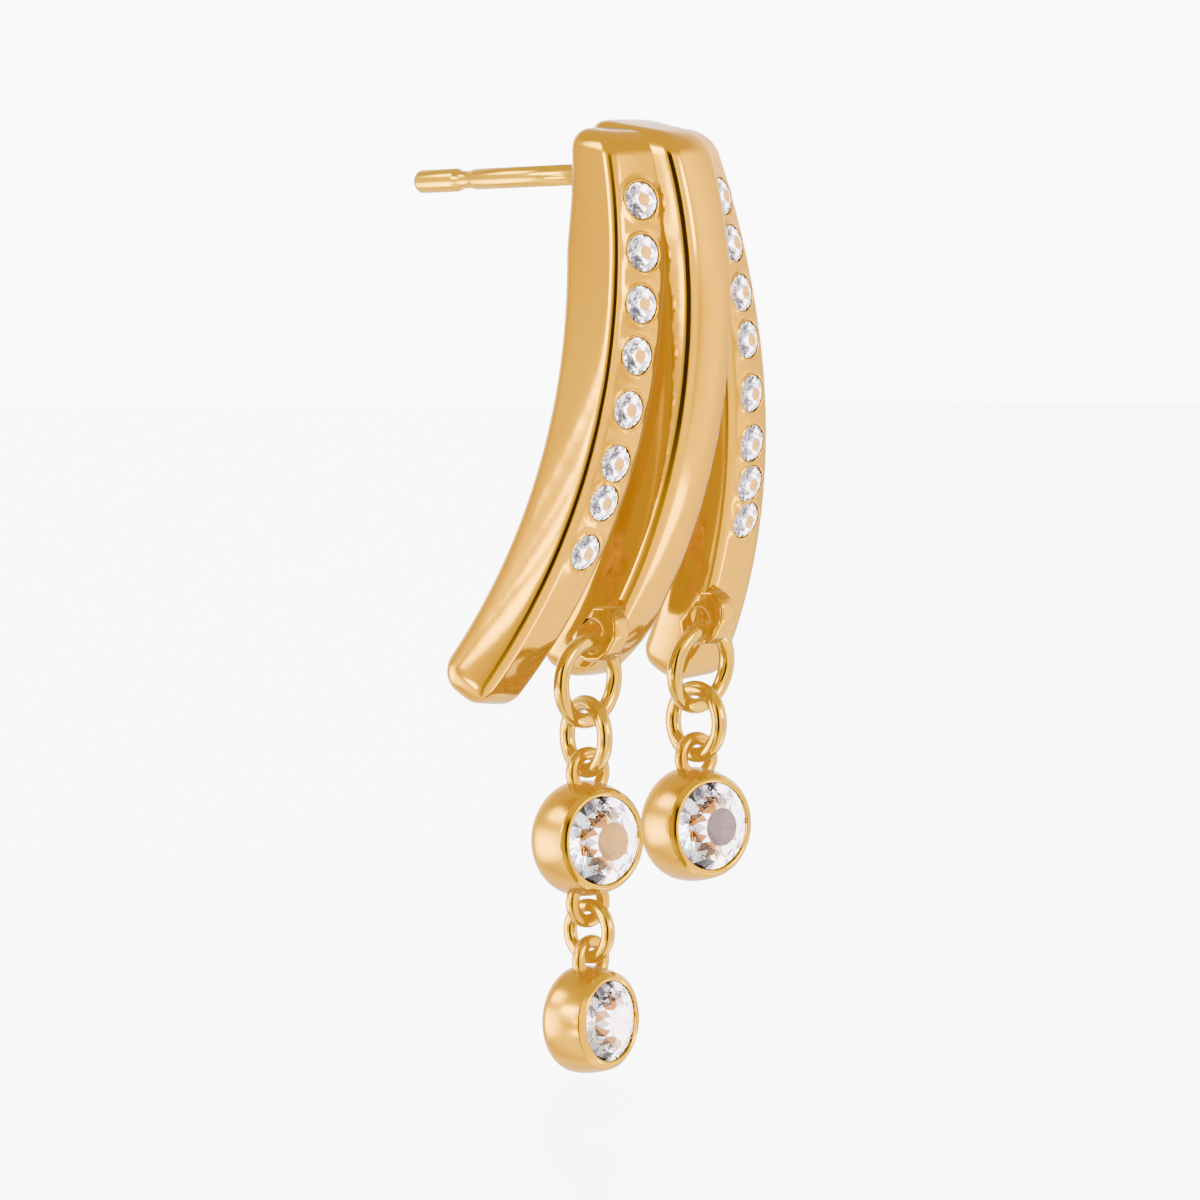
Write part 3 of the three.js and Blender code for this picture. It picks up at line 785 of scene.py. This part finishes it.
def foil_object(name, radius, pavilion, sectors, matrix=None):
    """The foil of a brilliant, with no painted glow round its girdle and a painted glow uneven from facet to
    facet behind.
    """
    foil = mesh_object(name, *foil_cup(radius, pavilion, sectors), STONE_FOIL, False, matrix)
    seen = range(2 * sectors, 5 * sectors)
    glow_shares = [FACET_GLOW_SHARES[i % len(FACET_GLOW_SHARES)] if i in seen else 0.0 for i in range(len(foil.data.polygons))]
    foil.data.attributes.new("glow_share", "FLOAT", "FACE").data.foreach_set("value", glow_shares)
    return foil


def crystal_rows():
    """Rows of small brilliants, their foils and their pressed collars on the two outer bars."""
    cut = brilliant(SMALL_CRYSTAL, **SMALL_CUT)
    stone = cut_object("seed_stone", cut, TABLE_REFLECTIONS["small"], SMALL_CROWN_REFLECTIONS)
    foil = foil_object("seed_foil", SMALL_CRYSTAL, SMALL_CUT["pavilion"], SMALL_CUT["sectors"])
    collar = turned("seed_collar", collar_profile(), TURNED_SIDES, CAST_GOLD)
    made = []
    for side, drops in CRYSTAL_DROPS.items():
        for label, seed, finish, lift in (("crystals", stone, CUT_CRYSTAL, CRYSTAL_LIFT),
                                          ("foils", foil, STONE_FOIL, CRYSTAL_LIFT),
                                          ("collars", collar, CAST_GOLD, 0.0)):
            seats = seats_mesh(f"{side}_seats", BARS[side], drops, lift)
            made.append(grown(f"{side}_{label}", SETTINGS_ALONG_BAR, {
                "Setting": seed, "Size": 1.0, "Finish": finish}, None, seats))
    for seed in (stone, foil, collar):
        bpy.data.objects.remove(seed)
    return made


# ---------------------------------------------------------------- drops


def eased(points, steps):
    """A smooth curve through points."""
    ends = [points[0], *points, points[-1]]
    curve = []
    for before, start, end, after in zip(ends, ends[1:], ends[2:], ends[3:]):
        p0, p1, p2, p3 = (Vector(point) for point in (before, start, end, after))
        for k in range(steps):
            t = k / steps
            curve.append((p1 * 2 + (p2 - p0) * t + (p0 * 2 - p1 * 5 + p2 * 4 - p3) * t ** 2
                          + (p1 * 3 - p0 - p2 * 3 + p3) * t ** 3) / 2)
    return [tuple(point) for point in curve] + [tuple(points[-1])]


def bezel_piece(name, bezel, eyes, matrix):
    """A spun cup with a lip pressed over the stone, its face to -Y, and wire eyes above and below."""
    radius, half, stone = bezel["radius"], bezel["depth"] / 2, bezel["stone"]
    front = -half
    outside = eased([(share * radius, y * half) for share, y in CUP_OUTSIDE], CUP_STEPS)
    lip = eased([outside[-1]] + [(stone + beyond, front * share) for beyond, share in CUP_LIP], LIP_STEPS)
    inside = [(stone + STONE_GAP, front * share) for share in CUP_WALL]
    inside += [(stone * share, half * y) for share, y in CUP_FLOOR]
    profile = [(0, half)] + outside + lip[1:] + inside
    cup = turned(name, list(reversed(profile)), CUP_SIDES, SPUN_GOLD)
    cup.data.materials.append(LIP_GOLD)
    for face in cup.data.polygons:
        face.material_index = int(face.center.y < LIP_SHARE * front * MM)
    cup.data.transform(matrix)
    parts = [cup]
    for direction, reach in eyes:
        lift = direction * (radius + reach - EYE[0] - EYE[1])
        parts.append(wire_ring(name + "_eye", EYE, matrix @ place(0, 0, lift), EYE_STEPS, SPUN_GOLD))
    return join(name, parts)


def stone_pieces(name, bezel, matrix):
    """The large brilliant and its foil, seated in a bezel."""
    seat = matrix @ place(0, -bezel["depth"] / 2 * STONE_SEAT, 0)
    share = bezel["stone"] / UPPER_BEZEL["stone"]
    crown, pavilion = STONE_CUT["crown"] * share, STONE_CUT["pavilion"] * share
    cut = brilliant(bezel["stone"], crown, pavilion, STONE_CUT["table"], STONE_CUT["sectors"])
    stone = cut_object(name + "_brilliant", cut, TABLE_REFLECTIONS[name], LARGE_CROWN_REFLECTIONS, seat)
    foil = foil_object(name + "_foil", bezel["stone"], pavilion, STONE_CUT["sectors"], seat)
    return [stone, foil]


def hang_drop(name, row):
    """One drop from its large ring down. height is the middle of the piece being placed."""
    x, y, top = row["ring"]
    lean = math.radians(row["lean"])
    two = "lower_turn" in row
    upper = name + "_upper" if two else name
    hung = place(x, y, top, 0, row["lean"])
    made = {f"{name}_large_ring": [wire_ring(f"{name}_jump_ring_large", LARGE_RING, hung)]}
    foot = top - LARGE_RING[0] * math.cos(lean)
    hung_y = y + LARGE_RING[0] * math.sin(lean)

    def at(height, turn):
        return place(x + row["drift"] * (foot - height), hung_y, height, turn)

    height = foot - (SMALL_RING[0] - LARGE_RING[1] - SMALL_RING[1] - LINK_GAP)
    spot = at(height, row["small_turn"])
    made[f"{name}_small_ring"] = [wire_ring(f"{name}_jump_ring_small", SMALL_RING, spot)]
    height -= (SMALL_RING[0] + UPPER_BEZEL["radius"] + row["eye_reach"] - SMALL_RING[1] - 2 * EYE[1]
               - LINK_GAP)
    spot = at(height, row["bezel_turn"])
    eyes = [(1, row["eye_reach"])] + ([(-1, LINK_EYE_REACH)] if two else [])
    made[f"{upper}_bezel"] = [bezel_piece(f"{upper}_cup", UPPER_BEZEL, eyes, spot)]
    made[f"{upper}_stone"] = stone_pieces(upper, UPPER_BEZEL, spot)
    if two:
        link_drop = LINK_EYE_REACH + LINK_RING[0] - 2 * EYE[1] - LINK_RING[1] - LINK_GAP
        height -= UPPER_BEZEL["radius"] + link_drop
        spot = at(height, row["link_turn"])
        made[f"{name}_link_ring"] = [wire_ring(f"{name}_jump_ring_link", LINK_RING, spot)]
        height -= LOWER_BEZEL["radius"] + link_drop
        spot = at(height, row["lower_turn"])
        eyes = [(1, LINK_EYE_REACH)]
        made[f"{name}_lower_bezel"] = [bezel_piece(f"{name}_lower_cup", LOWER_BEZEL, eyes, spot)]
        made[f"{name}_lower_stone"] = stone_pieces(f"{name}_lower", LOWER_BEZEL, spot)
    return made


pieces = {"bar_frame": [bar_piece(f"{name}_bar", bar, seats_of(name)) for name, bar in BARS.items()]}
pieces["bar_frame"] += [post_piece()] + crystal_rows()
pieces["bar_frame"] += [staple_piece(f"{name}_staple", row) for name, row in DROPS.items()]
for name, row in DROPS.items():
    pieces.update(hang_drop(name, row))

for node, members in pieces.items():
    for piece in members:
        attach(piece, "root")
        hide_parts(node)

# ---------------------------------------------------------------- floor, light and camera

LOWEST = CAD_BOX[0][2]
BACKDROP_LEVEL = 10.0
BRIGHTEST = 16.0
# The tent round the part: (compass, level low down, at eye height, higher up). Compass 0 is the front, in
# degrees, and it grows towards +X. The dark gap is where the tent opens for the lens.
TENT = [
    (-180, 2.0, 1.5, 2.0), (-165, 1.6, 1.5, 1.1), (-156, 1.3, 1.7, 1.3), (-144, 1.5, 1.7, 1.5),
    (-132, 2.1, 1.6, 1.7), (-118, 2.3, 1.6, 1.8), (-110, 2.6, 1.7, 2.1), (-102, 2.5, 1.3, 2.7),
    (-96, 2.3, 1.6, 2.7), (-90, 2.1, 1.8, 2.1), (-82, 1.6, 1.2, 1.6), (-72, 1.4, 1.0, 0.9),
    (-66, 0.8, 0.05, 0.05), (-44, 0.6, 0.05, 0.05), (-39, 2.1, 1.8, 3.0), (-28, 2.3, 2.4, 2.3),
    (-14, 2.2, 2.5, 2.4), (2, 2.4, 2.2, 2.6), (16, 2.6, 1.7, 2.2), (28, 2.8, 1.6, 2.1),
    (38, 3.2, 2.6, 3.2), (54, 2.6, 3.0, 2.6), (64, 2.5, 2.2, 2.2), (76, 2.4, 1.8, 1.9),
    (90, 2.3, 1.6, 2.8), (104, 1.8, 1.3, 2.4), (122, 1.8, 1.8, 2.4), (134, 1.8, 2.5, 2.2),
    (156, 1.8, 2.5, 2.4), (180, 2.0, 1.5, 2.1),
]
CEILING_LEVEL = 1.0
# The heights, in degrees, over which each level blends into the next.
LOW_TO_EYE = (-36, -14)
EYE_TO_HIGH = (-3, 8)
HIGH_TO_CEILING = (26, 44)
# Soft boxes in the tent, in degrees. Their edges fade over soft.
BOXES = [
    dict(compass=4, half_width=9, low=14, high=26, soft=7, level=12.0),
    dict(compass=45, half_width=4, low=-52, high=-30, soft=5, level=9.0),
    dict(compass=-93, half_width=3, low=-26, high=-20, soft=5, level=12.0),
    dict(compass=141, half_width=9, low=-2, high=5, soft=5, level=9.0),
    dict(compass=-134, half_width=8, low=34, high=42, soft=10, level=9.0),
    dict(compass=-101, half_width=9, low=16, high=27, soft=2.5, level=13.0),
    dict(compass=-99, half_width=2.5, low=11, high=13, soft=1.5, level=12.0),
    dict(compass=-95, half_width=1.5, low=6, high=8, soft=2, level=12.0),
    dict(compass=-90.5, half_width=1.5, low=-2, high=2, soft=3, level=11.0),
]
# A soft box that stands low and near, so that the drops see it beside them and the bars below them.
LOW_BOX = dict(compass=-134, distance=72, height=-42, size=(76, 70), level=10.0)
LOW_BOX_POINTS = 25
# What is left of the tent's light after two mirrorings, gold in gold.
DEEP_SHARE = 0.08
DEEP_LEVEL = 0.6
DEEP_BOUNCES = 1.5
FLOOR_RADIUS = 700
FLOOR_SIDES = 96
FLOOR_GAP = 0.1
FLOOR_GLOSS = dict(share=0.22, roughness=0.06)
CAMERA = dict(azimuth=-49, elevation=3.6, distance=0.36, span=0.05, aim=Vector((-0.6, 0.8, -17.8)) * MM)
SENSOR_WIDTH = 36


def studio_world():
    """A pale tent with soft boxes and a gap for the lens, and a white backdrop behind the part."""
    world = bpy.data.worlds.new("studio_tent")
    bpy.context.scene.world = world
    world.use_nodes = True
    tree = world.node_tree
    tree.nodes.clear()

    def math_node(*terms):
        return math_step(tree, *terms)

    def softened(value, low, high, kind="SMOOTHSTEP"):
        reach = {"Value": value, "From Min": float(low), "From Max": float(high)}
        return add(tree, "ShaderNodeMapRange", reach, interpolation_type=kind).outputs[0]

    def levels_round(compass, column):
        ramp = add(tree, "ShaderNodeValToRGB", {"Fac": softened(compass, -180, 180, "LINEAR")})
        elements = ramp.color_ramp.elements
        while len(elements) > 1:
            elements.remove(elements[-1])
        for i, row in enumerate(TENT):
            spot = (row[0] + 180) / 360
            element = elements[0] if i == 0 else elements.new(spot)
            element.position = spot
            element.color = (*[row[column] / BRIGHTEST] * 3, 1)
        return math_node("MULTIPLY", ramp.outputs["Color"], BRIGHTEST)

    def blend(share, low, high):
        return add(tree, "ShaderNodeMix", {0: share, 2: low, 3: high}).outputs[0]

    spot = add(tree, "ShaderNodeTexCoord").outputs["Generated"]
    parts = add(tree, "ShaderNodeSeparateXYZ", {0: spot})
    compass = math_node("DEGREES", math_node("ARCTAN2", parts.outputs["X"],
                                             math_node("MULTIPLY", parts.outputs["Y"], -1.0)))
    height = math_node("DEGREES", math_node("ARCSINE", parts.outputs["Z"]))
    level = blend(softened(height, *LOW_TO_EYE), levels_round(compass, 1), levels_round(compass, 2))
    level = blend(softened(height, *EYE_TO_HIGH), level, levels_round(compass, 3))
    level = blend(softened(height, *HIGH_TO_CEILING), level, CEILING_LEVEL)
    for box in BOXES:
        width, low, high, soft = box["half_width"], box["low"], box["high"], box["soft"]
        aside = math_node("ABSOLUTE", math_node("SUBTRACT", compass, box["compass"]))
        lit = math_node("MULTIPLY", softened(aside, width + soft, width),
                        softened(height, low - soft, low))
        lit = math_node("MULTIPLY", lit, softened(height, high + soft, high))
        level = blend(lit, level, box["level"])
    seen = add(tree, "ShaderNodeLightPath")
    deep = math_node("MULTIPLY", math_node("GREATER_THAN", seen.outputs["Glossy Depth"], DEEP_BOUNCES),
                     math_node("LESS_THAN", seen.outputs["Transmission Depth"], 0.5))
    inner = math_node("ADD", math_node("MULTIPLY", level, DEEP_SHARE), DEEP_LEVEL)
    glow, backdrop = (add(tree, "ShaderNodeBackground", {"Color": (1, 1, 1, 1), "Strength": strength})
                      for strength in (blend(deep, level, inner), BACKDROP_LEVEL))
    mix = add(tree, "ShaderNodeMixShader", {
        0: seen.outputs["Is Camera Ray"], 1: glow.outputs[0], 2: backdrop.outputs[0]})
    add(tree, "ShaderNodeOutputWorld", {"Surface": mix.outputs[0]})


def low_soft_box():
    """A panel that fades towards its edges. Only mirrors see it, and its light dims as the tent's does."""
    material, tree, _ = new_finish("low_soft_box")
    tree.nodes.clear()
    path, fade = add(tree, "ShaderNodeLightPath"), add(tree, "ShaderNodeAttribute", attribute_name="fade")
    near = math_step(tree, "LESS_THAN", path.outputs["Glossy Depth"], DEEP_BOUNCES)
    lit = math_step(tree, "MULTIPLY", near, fade.outputs["Fac"])
    clear = add(tree, "ShaderNodeBsdfTransparent")
    glow = add(tree, "ShaderNodeEmission", {"Strength": LOW_BOX["level"]})
    mix = add(tree, "ShaderNodeMixShader", {0: lit, 1: clear.outputs[0], 2: glow.outputs[0]})
    add(tree, "ShaderNodeOutputMaterial", {"Surface": mix.outputs[0]})
    turn, count = math.radians(LOW_BOX["compass"]), LOW_BOX_POINTS
    out, across = Vector((math.sin(turn), -math.cos(turn), 0)), Vector((math.cos(turn), math.sin(turn), 0))
    spots = [(2 * i / (count - 1) - 1, 2 * j / (count - 1) - 1) for j in range(count) for i in range(count)]
    width, height = LOW_BOX["size"]
    points = [out * LOW_BOX["distance"] + across * (u * width / 2)
              + Vector((0, 0, LOW_BOX["height"] + v * height / 2)) for u, v in spots]
    faces = [(j * count + i, j * count + i + 1, (j + 1) * count + i + 1, (j + 1) * count + i)
             for j in range(count - 1) for i in range(count - 1)]
    panel = mesh_object("low_soft_box", points, faces, material, False)
    fades = [math.cos(u * math.pi / 2) * math.cos(v * math.pi / 2) for u, v in spots]
    panel.data.attributes.new("fade", "FLOAT", "POINT").data.foreach_set("value", fades)
    panel.visible_camera = panel.visible_shadow = False


def floor_finish():
    """A glowing white light table with a faint gloss."""
    material, tree, shader = new_finish("light_table")
    fill(tree, shader, {"Base Color": (0, 0, 0, 1), "Specular IOR Level": 0.0,
                        "Emission Color": (1, 1, 1, 1), "Emission Strength": BACKDROP_LEVEL})
    gloss = add(tree, "ShaderNodeBsdfGlossy", {"Roughness": FLOOR_GLOSS["roughness"]})
    both = add(tree, "ShaderNodeMixShader", {
        0: FLOOR_GLOSS["share"], 1: shader.outputs[0], 2: gloss.outputs[0]})
    fill(tree, tree.nodes["Material Output"], {"Surface": both.outputs[0]})
    return material


def studio_floor():
    """A round light table just under the lowest drop, which the part's own metal doesn't mirror."""
    turns = [2 * math.pi * k / FLOOR_SIDES for k in range(FLOOR_SIDES)]
    points = [Vector((FLOOR_RADIUS * math.cos(t), FLOOR_RADIUS * math.sin(t), LOWEST / MM - FLOOR_GAP))
              for t in turns]
    floor = mesh_object("studio_floor", points, [tuple(range(FLOOR_SIDES))], floor_finish(), False)
    floor.visible_glossy = floor.visible_diffuse = floor.visible_transmission = False


def camera_view(azimuth, elevation, distance, span, aim):
    """A long lens that frames span metres at aim."""
    a, e = math.radians(azimuth), math.radians(elevation)
    out = Vector((math.sin(a) * math.cos(e), -math.cos(a) * math.cos(e), math.sin(e)))
    lens = bpy.data.cameras.new("camera")
    lens.sensor_width = SENSOR_WIDTH
    lens.lens = SENSOR_WIDTH * distance / span
    lens.clip_start, lens.clip_end = 0.01, 10
    camera = bpy.data.objects.new("camera", lens)
    facing = out.to_track_quat("Z", "Y").to_matrix().to_4x4()
    camera.matrix_world = Matrix.Translation(aim + out * distance) @ facing
    bpy.context.scene.collection.objects.link(camera)
    bpy.context.scene.camera = camera


studio_floor()
studio_world()
low_soft_box()
camera_view(**CAMERA)
